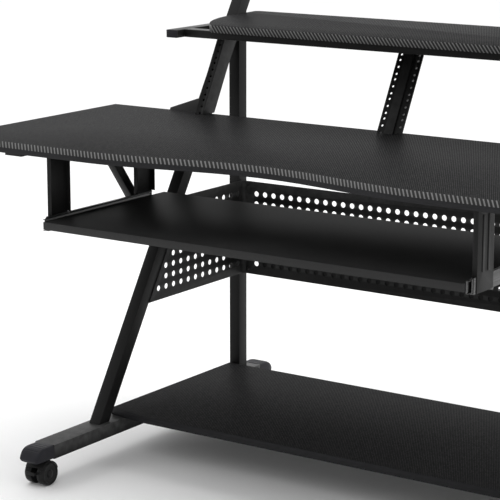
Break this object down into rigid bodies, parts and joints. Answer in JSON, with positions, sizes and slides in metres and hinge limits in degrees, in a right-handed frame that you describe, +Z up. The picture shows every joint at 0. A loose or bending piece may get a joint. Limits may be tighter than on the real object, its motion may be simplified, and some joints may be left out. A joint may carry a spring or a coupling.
{
  "type": "computer desk",
  "caption": "Wide black computer desk on castors: leaning steel side frames, scooped desktop, pull-out keyboard tray, lower and upper shelves, perforated rear guard and equipment bays.",
  "frame": {"origin": "on the floor, at the middle of the desk's footprint box", "axes": "+X to the right along the desktop, +Y from the user towards the rear posts, +Z up"},
  "size_m": [1.5, 0.876, 0.9843],
  "materials": {
    "board_laminate": "black laminate with a fine woven texture",
    "frame_steel": "black powder coat",
    "slide_steel": "black zinc plated steel",
    "cap_plastic": "moulded black plastic",
    "castor_plastic": "moulded black nylon",
    "wheel_plastic": "smooth black nylon tread"
  },
  "bodies": {
    "frame": {"desktop": "board_laminate", "upper_shelf_board": "board_laminate", "lower_shelf_board": "board_laminate", "rear_panel": "frame_steel", "guard_rail": "frame_steel", "centre_divider": "frame_steel", "desk_rear_rail": "frame_steel", "shelf_front_rail": "frame_steel", "shelf_rear_rail": "frame_steel", "foot_tube_left": "frame_steel", "leg_left": "frame_steel", "rear_post_left": "frame_steel", "desk_brace_left": "frame_steel", "desk_plate_left": "frame_steel", "overhang_bar_left": "frame_steel", "shelf_side_tube_left": "frame_steel", "side_panel_left": "frame_steel", "rack_rail_left": "frame_steel", "hanger_front_left": "frame_steel", "hanger_rear_left": "frame_steel", "foot_cap_front_left": "cap_plastic", "foot_cap_rear_left": "cap_plastic", "leg_cap_left": "cap_plastic", "shelf_tube_cap_left": "cap_plastic", "slide_outer_left": "slide_steel", "foot_tube_right": "frame_steel", "leg_right": "frame_steel", "rear_post_right": "frame_steel", "desk_brace_right": "frame_steel", "desk_plate_right": "frame_steel", "overhang_bar_right": "frame_steel", "shelf_side_tube_right": "frame_steel", "side_panel_right": "frame_steel", "rack_rail_right": "frame_steel", "hanger_front_right": "frame_steel", "hanger_rear_right": "frame_steel", "foot_cap_front_right": "cap_plastic", "foot_cap_rear_right": "cap_plastic", "leg_cap_right": "cap_plastic", "shelf_tube_cap_right": "cap_plastic", "slide_outer_right": "slide_steel"},
    "tray": {"keyboard_tray_board": "board_laminate", "slide_inner_left": "slide_steel", "slide_inner_right": "slide_steel"},
    "slide_middle_left": {"slide_middle_left": "slide_steel"},
    "slide_middle_right": {"slide_middle_right": "slide_steel"},
    "castor_front_left": {"castor_housing_front_left": "castor_plastic"},
    "wheel_inside_front_left": {"wheel_inside_front_left": "wheel_plastic"},
    "wheel_outside_front_left": {"wheel_outside_front_left": "wheel_plastic"},
    "pedal_left": {"brake_pedal_left": "castor_plastic"},
    "castor_rear_left": {"castor_housing_rear_left": "castor_plastic"},
    "wheel_inside_rear_left": {"wheel_inside_rear_left": "wheel_plastic"},
    "wheel_outside_rear_left": {"wheel_outside_rear_left": "wheel_plastic"},
    "castor_front_right": {"castor_housing_front_right": "castor_plastic"},
    "wheel_inside_front_right": {"wheel_inside_front_right": "wheel_plastic"},
    "wheel_outside_front_right": {"wheel_outside_front_right": "wheel_plastic"},
    "pedal_right": {"brake_pedal_right": "castor_plastic"},
    "castor_rear_right": {"castor_housing_rear_right": "castor_plastic"},
    "wheel_inside_rear_right": {"wheel_inside_rear_right": "wheel_plastic"},
    "wheel_outside_rear_right": {"wheel_outside_rear_right": "wheel_plastic"}
  },
  "joints": [
    {"name": "tray_slide", "type": "slide", "parent": "frame", "child": "tray", "axis": [0, -1, 0], "range_m": [0, 0.3]},
    {"name": "middle_slide_left", "type": "slide", "parent": "frame", "child": "slide_middle_left", "axis": [0, -1, 0], "range_m": [0, 0.15]},
    {"name": "middle_slide_right", "type": "slide", "parent": "frame", "child": "slide_middle_right", "axis": [0, -1, 0], "range_m": [0, 0.15]},
    {"name": "swivel_front_left", "type": "hinge", "parent": "frame", "child": "castor_front_left", "pos_m": [-0.5135, -0.373, 0.05], "axis": [0, 0, 1], "continuous": true},
    {"name": "spin_inside_front_left", "type": "hinge", "parent": "castor_front_left", "child": "wheel_inside_front_left", "pos_m": [-0.5135, -0.395, 0.025], "axis": [1, 0, 0], "continuous": true},
    {"name": "spin_outside_front_left", "type": "hinge", "parent": "castor_front_left", "child": "wheel_outside_front_left", "pos_m": [-0.5135, -0.395, 0.025], "axis": [1, 0, 0], "continuous": true},
    {"name": "brake_left", "type": "hinge", "parent": "castor_front_left", "child": "pedal_left", "pos_m": [-0.5135, -0.395, 0.025], "axis": [-1, 0, 0], "range_deg": [0, 20]},
    {"name": "swivel_rear_left", "type": "hinge", "parent": "frame", "child": "castor_rear_left", "pos_m": [-0.5135, 0.373, 0.05], "axis": [0, 0, 1], "continuous": true},
    {"name": "spin_inside_rear_left", "type": "hinge", "parent": "castor_rear_left", "child": "wheel_inside_rear_left", "pos_m": [-0.5135, 0.395, 0.025], "axis": [1, 0, 0], "continuous": true},
    {"name": "spin_outside_rear_left", "type": "hinge", "parent": "castor_rear_left", "child": "wheel_outside_rear_left", "pos_m": [-0.5135, 0.395, 0.025], "axis": [1, 0, 0], "continuous": true},
    {"name": "swivel_front_right", "type": "hinge", "parent": "frame", "child": "castor_front_right", "pos_m": [0.5135, -0.373, 0.05], "axis": [0, 0, 1], "continuous": true},
    {"name": "spin_inside_front_right", "type": "hinge", "parent": "castor_front_right", "child": "wheel_inside_front_right", "pos_m": [0.5135, -0.395, 0.025], "axis": [1, 0, 0], "continuous": true},
    {"name": "spin_outside_front_right", "type": "hinge", "parent": "castor_front_right", "child": "wheel_outside_front_right", "pos_m": [0.5135, -0.395, 0.025], "axis": [1, 0, 0], "continuous": true},
    {"name": "brake_right", "type": "hinge", "parent": "castor_front_right", "child": "pedal_right", "pos_m": [0.5135, -0.395, 0.025], "axis": [-1, 0, 0], "range_deg": [0, 20]},
    {"name": "swivel_rear_right", "type": "hinge", "parent": "frame", "child": "castor_rear_right", "pos_m": [0.5135, 0.373, 0.05], "axis": [0, 0, 1], "continuous": true},
    {"name": "spin_inside_rear_right", "type": "hinge", "parent": "castor_rear_right", "child": "wheel_inside_rear_right", "pos_m": [0.5135, 0.395, 0.025], "axis": [1, 0, 0], "continuous": true},
    {"name": "spin_outside_rear_right", "type": "hinge", "parent": "castor_rear_right", "child": "wheel_outside_rear_right", "pos_m": [0.5135, 0.395, 0.025], "axis": [1, 0, 0], "continuous": true}
  ],
  "couplings": [
    {"joint": "middle_slide_left", "follows": "tray_slide", "ratio": 0.5},
    {"joint": "middle_slide_right", "follows": "tray_slide", "ratio": 0.5}
  ]
}
